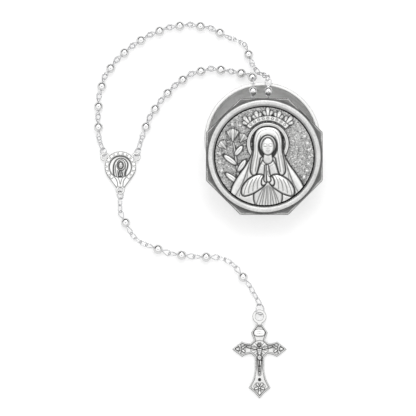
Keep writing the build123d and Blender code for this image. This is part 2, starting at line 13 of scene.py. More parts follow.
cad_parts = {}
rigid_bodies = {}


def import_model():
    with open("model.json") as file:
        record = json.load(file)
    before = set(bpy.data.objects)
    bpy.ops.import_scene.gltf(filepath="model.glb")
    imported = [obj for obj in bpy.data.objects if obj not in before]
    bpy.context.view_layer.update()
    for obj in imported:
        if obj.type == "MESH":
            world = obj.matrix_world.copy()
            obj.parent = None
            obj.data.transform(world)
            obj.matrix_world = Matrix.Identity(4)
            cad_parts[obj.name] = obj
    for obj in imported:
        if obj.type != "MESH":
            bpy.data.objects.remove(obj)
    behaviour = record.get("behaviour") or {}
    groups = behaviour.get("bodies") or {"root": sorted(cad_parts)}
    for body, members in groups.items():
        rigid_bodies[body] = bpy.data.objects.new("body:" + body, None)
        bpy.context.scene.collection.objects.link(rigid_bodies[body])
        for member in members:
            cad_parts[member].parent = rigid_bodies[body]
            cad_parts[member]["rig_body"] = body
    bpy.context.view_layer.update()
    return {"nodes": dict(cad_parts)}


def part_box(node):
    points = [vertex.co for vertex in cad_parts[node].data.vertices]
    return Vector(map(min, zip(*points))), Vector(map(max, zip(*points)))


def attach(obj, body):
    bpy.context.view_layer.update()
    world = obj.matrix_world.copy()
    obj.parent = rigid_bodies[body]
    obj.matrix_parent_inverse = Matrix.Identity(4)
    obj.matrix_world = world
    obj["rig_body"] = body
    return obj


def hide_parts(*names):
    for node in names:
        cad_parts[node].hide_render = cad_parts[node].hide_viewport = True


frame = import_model()
nodes = frame["nodes"]
MM = 0.001


# ---- Table, light and camera ------------------------------------------------------------------------
# The box stands on a plain white sheet in a white light tent, seen from almost overhead through a long lens.
# One broad lamp behind it throws a soft shadow forward; a dark gap in the tent draws the arcs on the beads.
class Socket:
    """One output of a node. Arithmetic with numbers or other sockets adds Math nodes."""

    def __init__(self, graph, link):
        self.graph = graph
        self.link = link

    def maths(self, operation, *values):
        return self.graph.node("ShaderNodeMath", {"operation": operation}, dict(enumerate(values)), "Value")

    def __add__(self, other):
        return self.maths("ADD", self, other)

    def __sub__(self, other):
        return self.maths("SUBTRACT", self, other)

    def __rsub__(self, other):
        return self.maths("SUBTRACT", other, self)

    def __mul__(self, other):
        return self.maths("MULTIPLY", self, other)

    def __pow__(self, other):
        return self.maths("POWER", self, other)

    __radd__ = __add__
    __rmul__ = __mul__


class Graph:
    """The nodes of one material or world."""

    def __init__(self, tree):
        self.tree = tree

    def node(self, kind, settings, values, output):
        made = self.tree.nodes.new(kind)
        for name, setting in settings.items():
            setattr(made, name, setting)
        for name, value in values.items():
            self.feed(made, name, value)
        return Socket(self, next(s for s in made.outputs if output in (s.identifier, s.name)))

    def feed(self, made, name, value):
        if isinstance(name, int):
            socket = made.inputs[name]
        else:
            socket = next(s for s in made.inputs if name in (s.identifier, s.name))
        if isinstance(value, Socket):
            self.tree.links.new(value.link, socket)
        else:
            socket.default_value = value

    def step(self, value, low, high):
        """0 below low, 1 above high, and a smooth rise between; low above high turns it round."""
        ends = {"Value": value, "From Min": low, "From Max": high}
        return self.node("ShaderNodeMapRange", {"interpolation_type": "SMOOTHSTEP"}, ends, "Result")

    def mix(self, share, first, second):
        colours = {"Factor_Float": share, "A_Color": (*first, 1), "B_Color": (*second, 1)}
        return self.node("ShaderNodeMix", {"data_type": "RGBA"}, colours, "Result_Color")

    def part(self, vector, axis):
        return self.node("ShaderNodeSeparateXYZ", {}, {"Vector": vector}, axis)

    def dot(self, first, second):
        values = {0: first, 1: second}
        return self.node("ShaderNodeVectorMath", {"operation": "DOT_PRODUCT"}, values, "Value")

    def from_axis(self, place):
        """How far a place lies from the Z axis."""
        x = self.part(place, "X")
        y = self.part(place, "Y")
        return (x * x + y * y) ** 0.5


class Finish(Graph):
    """A metal finish: a Principled shader and the nodes that vary it."""

    def __init__(self, name, metallic=1.0):
        self.material = bpy.data.materials.new(name)
        self.material.use_nodes = True
        super().__init__(self.material.node_tree)
        self.shader = self.tree.nodes["Principled BSDF"]
        self.set("Metallic", metallic)
        self.place = self.node("ShaderNodeTexCoord", {}, {}, "Object")

    def set(self, name, value):
        self.feed(self.shader, name, value)

    def noise(self, scale, detail, place=None):
        values = {"Vector": place or self.place, "Scale": scale, "Detail": detail}
        return self.node("ShaderNodeTexNoise", {}, values, "Fac")

    def edge(self, reach):
        """1 along sharp edges, 0 on flats: where a normal averaged over a reach in metres turns away."""
        rounded = self.node("ShaderNodeBevel", {"samples": 8}, {"Radius": reach}, "Normal")
        plain = self.node("ShaderNodeNewGeometry", {}, {}, "Normal")
        return self.step(self.dot(rounded, plain), 0.999, 0.93)

    def bump(self, height, distance, strength):
        values = {"Height": height, "Distance": distance, "Strength": strength}
        self.set("Normal", self.node("ShaderNodeBump", {}, values, "Normal"))


TABLE_HALF = 1.6
TABLE_WHITE = 0.98
TABLE_SEEN = 0.55
TABLE_GLOW = 0.47
TABLE_MIRRORED = 0.72
VIEW_UP_DEG = 79.0
VIEW_FAR = 1.5
VIEW_WIDTH = 0.1801
VIEW_CENTRE = Vector((-0.0235, -0.0284, 0.0))
LAMP_PLACE = Vector((0.04, 0.50, 0.78))
LAMP_SIZE = 0.40
LAMP_POWER = 1.9
TENT_LIGHT = 1.08
TENT_GAP = 0.02
GAP_TOP = (0.56, 0.40)
GAP_BACK = (-0.1, 0.4)
GAP_FRONT_SHARE = 0.35
LENS_SPOT = 0.85
LENS_SPOT_EDGE = (0.972, 0.990)
SENSOR_WIDTH = 36.0

bpy.ops.object.select_all(action="DESELECT")
bpy.ops.mesh.primitive_plane_add(size=2 * TABLE_HALF)
table = bpy.context.object
table.name = "table"
paper = Finish("white_paper", metallic=0.0)
mirrored = paper.node("ShaderNodeLightPath", {}, {}, "Is Glossy Ray")
looked_at = paper.node("ShaderNodeLightPath", {}, {}, "Is Camera Ray")
whiteness = TABLE_WHITE - (TABLE_WHITE - TABLE_MIRRORED) * mirrored - (TABLE_WHITE - TABLE_SEEN) * looked_at
paper.set("Base Color", paper.mix(whiteness, (0, 0, 0), (1, 1, 1)))
paper.set("Emission Color", paper.mix(looked_at, (0, 0, 0), (TABLE_GLOW,) * 3))
paper.set("Emission Strength", 1.0)
paper.set("Roughness", 1.0)
paper.set("Specular IOR Level", 0.0)
table.data.materials.append(paper.material)

bpy.ops.object.light_add(type="AREA", location=LAMP_PLACE)
lamp = bpy.context.object
lamp.data.size = LAMP_SIZE
lamp.data.energy = LAMP_POWER
lamp.rotation_euler = (-LAMP_PLACE).to_track_quat("-Z", "Y").to_euler()

tent = bpy.data.worlds.new("light_tent")
tent.use_nodes = True
bpy.context.scene.world = tent
sky = Graph(tent.node_tree)
way = sky.node("ShaderNodeTexCoord", {}, {}, "Generated")
back = sky.part(way, "Y")
up = sky.part(way, "Z")
spread = sky.node("ShaderNodeLightPath", {}, {}, "Is Diffuse Ray")
share = GAP_FRONT_SHARE + (1 - GAP_FRONT_SHARE) * sky.step(back, *GAP_BACK)
gap = sky.step(up, *GAP_TOP) * share * (1 - spread)
camera_way = Vector((0, -cos(radians(VIEW_UP_DEG)), sin(radians(VIEW_UP_DEG))))
lens_spot = sky.step(sky.dot(way, camera_way), *LENS_SPOT_EDGE)
level = TENT_LIGHT - (TENT_LIGHT - TENT_GAP) * gap - LENS_SPOT * lens_spot
seen = sky.node("ShaderNodeLightPath", {}, {}, "Is Camera Ray")
strength = level * (1 - seen) + seen
background = tent.node_tree.nodes["Background"]
sky.feed(background, "Strength", strength)
sky.feed(background, "Color", (1, 1, 1, 1))

bpy.ops.object.camera_add(location=VIEW_CENTRE + camera_way * VIEW_FAR)
camera = bpy.context.object
camera.rotation_euler = (-camera_way).to_track_quat("-Z", "Y").to_euler()
camera.data.sensor_width = SENSOR_WIDTH
camera.data.lens = SENSOR_WIDTH * VIEW_FAR / VIEW_WIDTH
camera.data.clip_end = 10.0
bpy.context.scene.camera = camera
bpy.context.scene.view_settings.view_transform = "Standard"


# ---- Dish -------------------------------------------------------------------------------------------
# One cup spun from thin sheet and nickel plated, whose rolled rim is polished smoother than the pale satin
# inside. The spinning leaves fine rings round the axis, and handling leaves faint cloudy marks.
DISH_RIM_EDGE = (0.0232, 0.0238)
DISH_RIM_RISE = (0.0080, 0.0096)
DISH_RIM_DARK_EDGE_REACH = 0.0008
DISH_INSIDE = (0.02425, 0.02395)
DISH_MIDDLE_SHADE = (0.0222, 0.0180)
MERGE_WITHIN = 2e-6


def new_piece(name, mesh):
    """A piece put in the scene, active and the only one selected."""
    piece = bpy.data.objects.new(name, mesh)
    bpy.context.scene.collection.objects.link(piece)
    bpy.ops.object.select_all(action="DESELECT")
    bpy.context.view_layer.objects.active = piece
    piece.select_set(True)
    return piece


def polished_copy(node, finish, smooth_deg=35.0):
    """A copy of a frame part with its facets joined and shaded smooth, in its own finish."""
    piece = new_piece(f"{node}_finished", nodes[node].data.copy())
    bpy.ops.object.mode_set(mode="EDIT")
    bpy.ops.mesh.select_all(action="SELECT")
    bpy.ops.mesh.remove_doubles(threshold=MERGE_WITHIN)
    bpy.ops.mesh.customdata_custom_splitnormals_clear()
    bpy.ops.object.mode_set(mode="OBJECT")
    bpy.ops.object.shade_smooth_by_angle(angle=radians(smooth_deg))
    piece.data.materials.clear()
    piece.data.materials.append(finish.material)
    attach(piece, nodes[node]["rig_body"])
    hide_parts(node)
    return piece


def spun_nickel():
    """Smoothest on the rim, and pale satin inside, with painted shade that darkens it a little toward the
    middle.
    """
    finish = Finish("spun_nickel")
    radius = finish.from_axis(finish.place)
    rings = finish.node("ShaderNodeCombineXYZ", {}, {"X": radius}, "Vector")
    lines = finish.noise(2600, 3, rings)
    clouds = finish.noise(90, 3)
    high = finish.step(finish.part(finish.place, "Z"), *DISH_RIM_RISE)
    rim = finish.step(radius, *DISH_RIM_EDGE) * high
    # Painted dark reflection: the rim's edges are darkened in the colour.
    rim_painted_dark_edge = finish.edge(DISH_RIM_DARK_EDGE_REACH) * rim
    inside = finish.step(radius, *DISH_INSIDE) * (1 - rim)
    # Painted shade: the colour darkens toward the middle of the dish, where the lid's shadow falls.
    painted_middle_shade = finish.step(radius, *DISH_MIDDLE_SHADE) * inside
    shade = 0.72 + 0.25 * inside - 0.15 * painted_middle_shade - 0.3 * rim_painted_dark_edge
    finish.set("Base Color", finish.mix(shade, (0, 0, 0), (1, 1, 0.99)))
    finish.set("Metallic", 0.85 - 0.77 * inside - 0.3 * rim)
    finish.set("Roughness", 0.40 + 0.10 * lines + 0.12 * clouds - 0.16 * rim)
    finish.bump(lines, 0.00002, 0.35)
    return finish


polished_copy("dish", spun_nickel())


# ---- Lid --------------------------------------------------------------------------------------------
# A cast octagon, plated and then darkened, over a pale collar that fits into the dish. Handling has rubbed
# its edges bright, and that brightness is partly a painted highlight; dark polish stays in the seam round
# the medallion.
LID_TIP = radians(7.0)
LID_FLANGE_UNDER = 0.003
LID_COLLAR_BLUR = 0.0002
LID_SEAM = (0.0255, 0.0246)
LID_WORN_HIGHLIGHT_REACH = 0.0010


def lid_frame(node):
    """The centre of a round lid piece's underside, and the turn from the lid's own axes to the room's."""
    turn = Matrix.Rotation(LID_TIP, 3, "X")
    own = np.array([v.co for v in nodes[node].data.vertices]) @ np.array(turn)
    low, high = own.min(0), own.max(0)
    centre = turn @ Vector(((low[0] + high[0]) / 2, (low[1] + high[1]) / 2, low[2]))
    return Matrix.Translation(centre) @ turn.to_4x4()


def own_place(finish, node):
    """Places on a lid piece, along the lid's own axes from the centre of the piece's underside."""
    back = lid_frame(node).inverted()
    values = {"Location": back.to_translation(), "Rotation": back.to_euler(), "Vector": finish.place}
    return finish.node("ShaderNodeMapping", {"vector_type": "POINT"}, values, "Vector")


def darkened_nickel():
    """Dark on the flange, bright where an edge is rubbed, partly a painted highlight, and pale on the collar
    below.
    """
    finish = Finish("darkened_nickel")
    place = own_place(finish, "lid_shell")
    collar = finish.step(finish.part(place, "Z"), LID_FLANGE_UNDER + LID_COLLAR_BLUR, LID_FLANGE_UNDER)
    # Rubbed edges whose brightness is partly a painted highlight.
    worn_and_highlight = finish.edge(LID_WORN_HIGHLIGHT_REACH)
    seam = finish.step(finish.from_axis(place), *LID_SEAM)
    grime = finish.noise(420, 4)
    shade = 0.15 - 0.12 * seam + 0.10 * grime + (0.35 + 0.7 * grime) * worn_and_highlight * (1 - 0.8 * seam)
    shade = shade + 0.65 * collar * (1 - worn_and_highlight)
    finish.set("Base Color", finish.mix(shade, (0, 0, 0), (1, 1, 0.99)))
    finish.set("Roughness", 0.38 + 0.14 * grime)
    finish.bump(finish.noise(2400, 3), 0.00003, 0.5)
    return finish


polished_copy("lid_shell", darkened_nickel(), 25.0)


# ---- Medallion --------------------------------------------------------------------------------------
# Struck from one blank, silvered, blackened and rubbed back: the rim and the high forms are bright, the
# recesses stay black, and the ground is stippled. It shows a veiled lady at prayer, crowned, with a lily.
MEDAL_RADIUS_MM = 24.25
MEDAL_THICK_MM = 2.0
RIM_WIDTH_MM = 2.65
RIM_ROUND_MM = 0.5
RIM_LAP_MM = 0.35
RIM_FEET = (0.0015, 0.0012)
RIM_SLOPE_SHADE = (0.02255, 0.0223)
RIM_TURN_SHADE = (0.02385, 0.02415)
GROUND_MM = 1.1
GROOVE_MM = 0.4
GROOVE_DEEP_MM = 0.25
RELIEF_TOP_MM = 0.95
RELIEF_STEP_MM = 0.17
STIPPLE_MM = 0.10
LADY = (1.5, 5.4)
HALO_MM = 8.3
CROWN_MM = 10.9
STARS_MM = 19.3


def oval(x, y, middle, half_width, half_height, turn_deg=0.0):
    """How far in from an ellipse's edge each point lies, in mm, negative outside."""
    c, s = cos(radians(turn_deg)), sin(radians(turn_deg))
    across = ((x - middle[0]) * c + (y - middle[1]) * s) / half_width
    along = ((y - middle[1]) * c - (x - middle[0]) * s) / half_height
    return (1 - np.hypot(across, along)) * min(half_width, half_height)


def bar(x, y, start, end, radius, end_radius=None):
    """How far in from a round-ended bar, which may taper, each point lies."""
    run = np.subtract(end, start)
    share = np.clip(((x - start[0]) * run[0] + (y - start[1]) * run[1]) / (run @ run), 0, 1)
    thick = radius + ((radius if end_radius is None else end_radius) - radius) * share
    return thick - np.hypot(x - start[0] - run[0] * share, y - start[1] - run[1] * share)


def outline(x, y, points):
    """How far in from a closed outline each point lies."""
    nearest = np.full(x.shape, 1e9)
    inside = np.zeros(x.shape, bool)
    for (ax, ay), (bx, by) in zip(points, points[1:] + points[:1]):
        nearest = np.minimum(nearest, -bar(x, y, (ax, ay), (bx, by), 0.0))
        crosses = (ay > y) != (by > y)
        inside ^= crosses & (x < (bx - ax) * (y - ay) / (by - ay + 1e-12) + ax)
    return np.where(inside, nearest, -nearest)


def flowing(points, rounds=3, closed=True):
    """Corners cut again and again until a coarse outline or line flows."""
    for _ in range(rounds):
        pairs = zip(points, points[1:] + (points[:1] if closed else []))
        cuts = [(a, b, share) for a, b in pairs for share in (0.25, 0.75)]
        points = [tuple(np.add(np.multiply(a, 1 - share), np.multiply(b, share))) for a, b, share in cuts]
    return points


def blurred(field, reach):
    """A grid smoothed over a reach given in grid steps."""
    span = np.arange(-3 * reach, 3 * reach + 1)
    weight = np.exp(-(span**2) / (2.0 * reach**2))
    weight /= weight.sum()
    for axis in (0, 1):
        field = np.apply_along_axis(lambda line: np.convolve(line, weight, "same"), axis, field)
    return field


class Die:
    """A face being engraved: heights in mm over a grid of points, and its black: the polish in its cuts, and
    painted shade.
    """

    def __init__(self, x, y):
        self.x = x
        self.y = y
        self.height = np.zeros(x.shape)
        self.black = np.zeros(x.shape)

    def lay_polish_and_shade(self, polish):
        """Lays black polish, and painted shade too, wherever it is thicker than what is there."""
        self.black = np.maximum(self.black, polish)

    def raise_form(self, depth, height, edge, seam=0.22, dark=0.85):
        """A pillow-edged form over what lies behind it, with black polish along its outer edge."""
        swell = height * np.sqrt(1 - (1 - np.clip(depth / edge, 0, 1)) ** 2)
        near = np.exp(-((depth / seam) ** 2))
        outside = self.height * (1 - 0.8 * near)
        self.height = np.where(depth > 0, swell, outside)
        self.black = np.where(depth > 0, 0, self.black)
        self.lay_polish_and_shade(dark * np.exp(-(((depth + 0.4 * seam) / seam) ** 2)))

    def cut(self, start, end, width, deep, dark):
        """A tapered graver's line from start to end."""
        away = -bar(self.x, self.y, start, end, 0.0)
        run = np.subtract(end, start)
        share = ((self.x - start[0]) * run[0] + (self.y - start[1]) * run[1]) / (run @ run)
        taper = np.clip(1.15 - np.abs(2 * share - 1), 0.25, 1)
        line = np.exp(-((away / (width * taper)) ** 2))
        self.height = self.height - deep * line
        self.lay_polish_and_shade(dark * line)

    def curve(self, points, width, deep, dark, within=None):
        """A flowing graver's line along a few points, faded out at the edge of the form it lies within."""
        away = np.full(self.x.shape, 1e9)
        smooth = [points[0], *flowing(points, 3, closed=False), points[-1]]
        for start, end in zip(smooth, smooth[1:]):
            away = np.minimum(away, -bar(self.x, self.y, start, end, 0.0))
        line = np.exp(-((away / width) ** 2))
        if within is not None:
            line = line * np.clip(within / 0.3, 0, 1)
        self.height = self.height - deep * line
        self.lay_polish_and_shade(dark * line)


def halo_and_crown(die):
    x, y = die.x, die.y
    out = np.hypot(x - LADY[0], y - LADY[1])
    turn = np.degrees(np.arctan2(x - LADY[0], y - LADY[1]))
    die.raise_form(0.72 - np.abs(out - HALO_MM), 0.36, 0.4)
    die.height -= 0.08 * np.exp(-(((out - HALO_MM) / 0.16) ** 2))
    die.lay_polish_and_shade(0.55 * np.exp(-(((out - HALO_MM) / 0.15) ** 2)))
    for n in range(5):
        a = radians(-42 + 21 * n)
        tall = 1.0 if n % 2 == 0 else 0.8
        for lean, reach, thick in ((-6.5, 2.4, 0.75), (6.5, 2.4, 0.75), (0, 3.6, 0.85)):
            tip = a + radians(lean)
            low, high = CROWN_MM + 0.1, CROWN_MM + 0.3 + reach * tall
            foot = (LADY[0] + low * sin(a), LADY[1] + low * cos(a))
            head = (LADY[0] + high * sin(tip), LADY[1] + high * cos(tip))
            die.raise_form(bar(x, y, foot, head, 0.42, thick), 0.46, 0.5)
            die.raise_form(oval(x, y, head, 0.36, 0.36), 0.34, 0.3, 0.14, 0.45)
    band = np.minimum(1.0 - np.abs(out - CROWN_MM), (50 - np.abs(turn)) * 0.18)
    die.raise_form(band, 0.44, 0.4)
    for n in range(9):
        a = radians(-42 + 10.5 * n)
        gem = (LADY[0] + CROWN_MM * sin(a), LADY[1] + CROWN_MM * cos(a))
        die.raise_form(oval(x, y, gem, 0.42, 0.42), 0.5, 0.35, 0.16, 0.7)


def lily(die):
    x, y = die.x, die.y
    foot, top = (-10.4, -14.2), (-13.2, 5.6)
    die.raise_form(bar(x, y, foot, top, 0.44, 0.3), 0.36, 0.3)
    leaves = (((-10.9, -11.6), (-16.6, -7.4)), ((-11.4, -6.6), (-8.0, -1.6)),
              ((-12.0, -3.6), (-17.4, 0.4)), ((-12.6, 0.4), (-9.4, 4.4)))
    for start, end in leaves:
        middle = tuple(np.multiply(np.add(start, end), 0.5))
        turn = np.degrees(atan2(end[1] - start[1], end[0] - start[0])) - 90
        length = np.hypot(*np.subtract(end, start)) / 2
        die.raise_form(oval(x, y, middle, 1.05, length, turn), 0.42, 0.6)
        die.cut(start, end, 0.16, 0.1, 0.6)
    for middle, lean, size in (((-13.6, 8.6), 0, 1.15), ((-17.4, 4.4), 40, 0.9), ((-9.6, 7.4), -30, 0.85)):
        stem = radians(lean)
        start = (middle[0] + 1.5 * size * sin(stem), middle[1] - 1.5 * size * cos(stem))
        for petal in (-44, 44, -20, 20, 0):
            a = radians(lean + petal)
            tip = (middle[0] - 2.1 * size * sin(a), middle[1] + 2.1 * size * cos(a))
            die.raise_form(bar(x, y, start, tip, 0.35 * size, 0.72 * size), 0.55, 0.6, 0.16, 0.75)
            die.cut(start, tip, 0.12, 0.06, 0.4)


def stars(die):
    turns = [64 + 9.0 * n for n in range(8)] + [-45, -87, -98, -109]
    for turn_deg in turns:
        turn = radians(turn_deg)
        middle = (STARS_MM * sin(turn), STARS_MM * cos(turn))
        ray = np.arctan2(die.x - middle[0], die.y - middle[1]) - turn
        wide = 0.62 + 0.38 * np.cos(5 * ray)
        die.raise_form(wide - np.hypot(die.x - middle[0], die.y - middle[1]), 0.3, 0.3, 0.16, 0.6)


def robes(die):
    x, y = die.x, die.y
    right = [(1.5, 13.0), (5.6, 12.0), (7.8, 8.6), (7.9, 4.4), (8.3, 0.6), (10.4, -3.4), (13.6, -7.6),
             (16.2, -11.6), (17.8, -16.0), (17.4, -24.0)]
    left = [(2 * LADY[0] - px, py) for px, py in reversed(right[1:])]
    mantle = outline(x, y, flowing(right + left))
    die.raise_form(mantle, 0.60, 2.4, 0.3, 1.0)
    for side in (-1, 1):
        for n in range(6):
            top = (LADY[0] + side * (7.4 + 0.25 * n), -0.6 - 1.1 * n)
            bend = (LADY[0] + side * (8.6 + 0.62 * n), -6.0 - 1.5 * n)
            foot = (LADY[0] + side * (9.6 + 1.35 * n), -15.5 - 0.9 * n)
            if n % 2 == 0:
                die.curve([top, bend, foot], 0.20, 0.14, 0.75, mantle)
            else:
                die.curve([bend, foot], 0.14, 0.08, 0.45, mantle)
    dress = outline(x, y, flowing([(1.5, 0.4), (4.6, -2.6), (6.6, -9.0), (8.4, -23.0), (-5.4, -23.0),
                                   (-3.6, -9.0), (-1.6, -2.6)]))
    die.raise_form(np.minimum(dress, mantle), 0.46, 1.2, 0.26, 0.9)
    for n in range(-4, 5):
        top = (LADY[0] + 0.55 * n, -12.6 - 0.35 * abs(n))
        foot = (LADY[0] + 1.28 * n, -21.4)
        die.curve([top, ((top[0] + foot[0]) / 2 + 0.25 * (n % 2), -17.0), foot], 0.19, 0.16, 0.8, dress)
    die.curve([(-0.9, -1.6), (1.5, -3.4), (3.9, -1.6)], 0.16, 0.1, 0.7, dress)
    die.curve([(-1.6, -3.0), (1.5, -5.2), (4.6, -3.0)], 0.13, 0.08, 0.5, dress)


def veil(die):
    x, y = die.x, die.y
    hem = [(1.5, 13.0), (6.2, 11.8), (7.7, 7.4), (7.4, 2.6), (8.6, -2.2), (9.3, -7.4), (6.6, -8.8),
           (5.2, -3.2), (4.6, 0.2), (-1.6, 0.2), (-2.2, -3.2), (-3.6, -8.8), (-6.3, -7.4), (-5.6, -2.2),
           (-4.4, 2.6), (-4.7, 7.4), (-3.2, 11.8)]
    cloth = outline(x, y, flowing(hem))
    die.raise_form(cloth, 0.82, 2.8, 0.28, 1.0)
    folds = (([(0.4, 11.6), (3.9, 10.4), (5.3, 6.2), (5.1, 1.2), (6.2, -3.4), (6.9, -7.6)], 0.17, 0.1, 0.6),
             ([(3.0, 8.6), (4.3, 5.8), (4.2, 1.4), (4.9, -2.6), (5.4, -6.6)], 0.2, 0.14, 0.85),
             ([(5.8, 0.2), (6.4, -2.4), (6.9, -5.4)], 0.15, 0.08, 0.55))
    for side in (-1, 1):
        for line, width, deep, dark in folds:
            die.curve([(LADY[0] + side * px, py) for px, py in line], width, deep, dark, cloth)


def face(die):
    x, y = die.x, die.y
    middle = LADY[0]
    hollow = oval(x, y, (middle, 4.0), 4.1, 5.0)
    die.raise_form(hollow, 0.2, 0.3, 0.2, 0.6)
    die.black = np.where(hollow > 0, 0.92, die.black)
    die.raise_form(bar(x, y, (middle, 1.6), (middle, -1.2), 1.5, 2.1), 0.42, 1.0, 0.22, 0.9)
    die.raise_form(oval(x, y, (middle, 4.9), 3.5, 4.1), 0.56, 0.9, 0.2, 0.7)
    skin = oval(x, y, (middle, 4.2), 2.75, 3.75)
    die.raise_form(skin, 0.92, 2.3, 0.17, 0.75)
    for side in (-1, 1):
        die.curve([(middle + side * 0.35, 4.9), (middle + side * 1.0, 5.45), (middle + side * 1.9, 5.15)],
                  0.15, 0.06, 0.5, skin)
        die.curve([(middle + side * 0.55, 4.25), (middle + side * 1.1, 3.98), (middle + side * 1.7, 4.3)],
                  0.15, 0.08, 0.8, skin)
        die.curve([(middle + side * 0.30, 4.9), (middle + side * 0.26, 3.9), (middle + side * 0.42, 3.25)],
                  0.11, 0.05, 0.28, skin)
    die.curve([(middle - 0.4, 3.15), (middle, 2.98), (middle + 0.4, 3.15)], 0.13, 0.05, 0.6, skin)
    die.curve([(middle - 0.75, 2.25), (middle, 2.12), (middle + 0.75, 2.25)], 0.14, 0.07, 0.75, skin)
    die.curve([(middle - 0.45, 1.6), (middle + 0.45, 1.6)], 0.16, 0.04, 0.3, skin)


def sleeves_and_hands(die):
    x, y = die.x, die.y
    for side in (-1, 1):
        sleeve = outline(x, y, flowing([(LADY[0] + side * px, py) for px, py in
                                        ((0.7, -9.0), (3.4, -7.4), (8.2, -9.4), (11.6, -13.6), (11.2, -17.6),
                                         (7.0, -16.6), (3.2, -14.2), (1.0, -12.4))]))
        die.raise_form(sleeve, 0.86, 2.2, 0.28, 1.0)
        for n in range(4):
            start = (LADY[0] + side * (2.8 + 1.9 * n), -8.3 - 0.9 * n)
            bend = (LADY[0] + side * (4.4 + 1.8 * n), -10.6 - 1.2 * n)
            end = (LADY[0] + side * (4.6 + 1.9 * n), -14.0 - 0.9 * n)
            die.curve([start, bend, end], 0.19, 0.15, 0.75, sleeve)
        cuff = oval(x, y, (LADY[0] + side * 1.55, -10.6), 1.15, 2.1, side * 18)
        die.raise_form(cuff, 0.88, 0.8, 0.2, 0.9)
    for side in (-1, 1):
        palm = bar(x, y, (1.3 + side * 0.55, -10.2), (0.95 + side * 0.3, -4.2), 1.0, 0.5)
        die.raise_form(palm, 0.92, 0.9, 0.2, 0.95)
    for side in (-1, 1):
        die.cut((1.2 + side * 0.95, -7.6), (0.95 + side * 0.52, -4.6), 0.12, 0.05, 0.5)
    die.raise_form(bar(x, y, (2.1, -8.4), (1.5, -6.8), 0.4, 0.3), 0.92, 0.3, 0.14, 0.7)


def rubbed_shade(die, ground_shade, figure_shade, stipple, full=0.22):
    """The shade left by rubbing: pale on the forms, grey on the ground, black in the cuts."""
    figure = np.clip(blurred(die.height, 1) / full, 0, 1)
    tight = blurred(die.height, 1) - blurred(die.height, 4)
    wide = blurred(die.height, 2) - blurred(die.height, 9)
    shade = ground_shade + (figure_shade - ground_shade) * figure + stipple * (1 - 0.8 * figure)
    shade = shade + 1.6 * np.clip(tight, -0.12, 0.08) + 0.7 * np.clip(wide, -0.25, 0.25)
    return np.clip(shade, 0.03, 0.88) * (1 - 0.95 * np.clip(die.black, 0, 1)) + 0.012


def struck_medallion(x, y):
    """Heights in mm, rubbed shade and the kept points of the medallion's face."""
    die = Die(x, y)
    for engrave in (stars, halo_and_crown, lily, robes, veil, face, sleeves_and_hands):
        engrave(die)
    out = np.hypot(x, y)
    edge = MEDAL_RADIUS_MM - RIM_WIDTH_MM - GROOVE_MM
    stipple = np.random.default_rng(7).normal(size=x.shape)
    stipple = 0.4 * stipple + 0.8 * blurred(stipple, 1)
    shade = rubbed_shade(die, 0.42, 0.64, 0.26 * stipple)
    on_ground = np.clip(1 - die.height / 0.2, 0, 1)
    height = np.minimum(die.height, RELIEF_TOP_MM) + STIPPLE_MM * stipple * on_ground
    height = np.where(out > edge, -GROOVE_DEEP_MM, height)
    shade = np.where(out > edge - 0.1, 0.012, shade)
    return GROUND_MM + height, shade, out < MEDAL_RADIUS_MM - RIM_WIDTH_MM + RIM_LAP_MM


def cut_away(piece, spare):
    """Deletes the points of the active piece that are marked as spare."""
    bpy.ops.object.mode_set(mode="EDIT")
    bpy.ops.mesh.select_mode(type="VERT")
    bpy.ops.mesh.select_all(action="DESELECT")
    bpy.ops.object.mode_set(mode="OBJECT")
    piece.data.vertices.foreach_set("select", spare)
    bpy.ops.object.mode_set(mode="EDIT")
    bpy.ops.mesh.delete(type="VERT")
    bpy.ops.object.mode_set(mode="OBJECT")


def struck_grid(name, half_size, step, strike):
    """A fine sheet pressed to shape: strike gives each point's height and shade, and whether it is kept."""
    counts = [round(2 * half / step) for half in half_size]
    bpy.ops.object.select_all(action="DESELECT")
    bpy.ops.mesh.primitive_grid_add(x_subdivisions=counts[0], y_subdivisions=counts[1], size=2)
    piece = bpy.context.object
    piece.name = name
    piece.data.transform(Matrix.Diagonal((*half_size, 1, 1)))
    points = np.array([v.co for v in piece.data.vertices])
    order = np.lexsort((points[:, 0].round(4), points[:, 1].round(4)))
    shape = (counts[1] + 1, counts[0] + 1)
    z, shade, kept = strike(points[order, 0].reshape(shape), points[order, 1].reshape(shape))
    points[order, 2] = z.ravel()
    piece.data.vertices.foreach_set("co", points.ravel())
    tone = np.empty(len(points))
    tone[order] = shade.ravel()
    piece.data.attributes.new("rubbed", "FLOAT", "POINT").data.foreach_set("value", tone)
    spare = np.empty(len(points), bool)
    spare[order] = ~kept.ravel()
    cut_away(piece, spare)
    bpy.ops.object.shade_smooth()
    return piece


def antiqued_silver(name):
    """Silver whose shade comes from what the rubbing left: an attribute of the piece."""
    finish = Finish(name)
    rubbed = finish.node("ShaderNodeAttribute", {"attribute_name": "rubbed"}, {}, "Fac")
    fine = finish.noise(1500, 4)
    finish.set("Base Color", finish.mix(rubbed * (0.86 + 0.28 * fine), (0, 0, 0), (1, 1, 0.99)))
    finish.set("Roughness", 0.52 - 0.22 * rubbed + 0.1 * fine)
    return finish


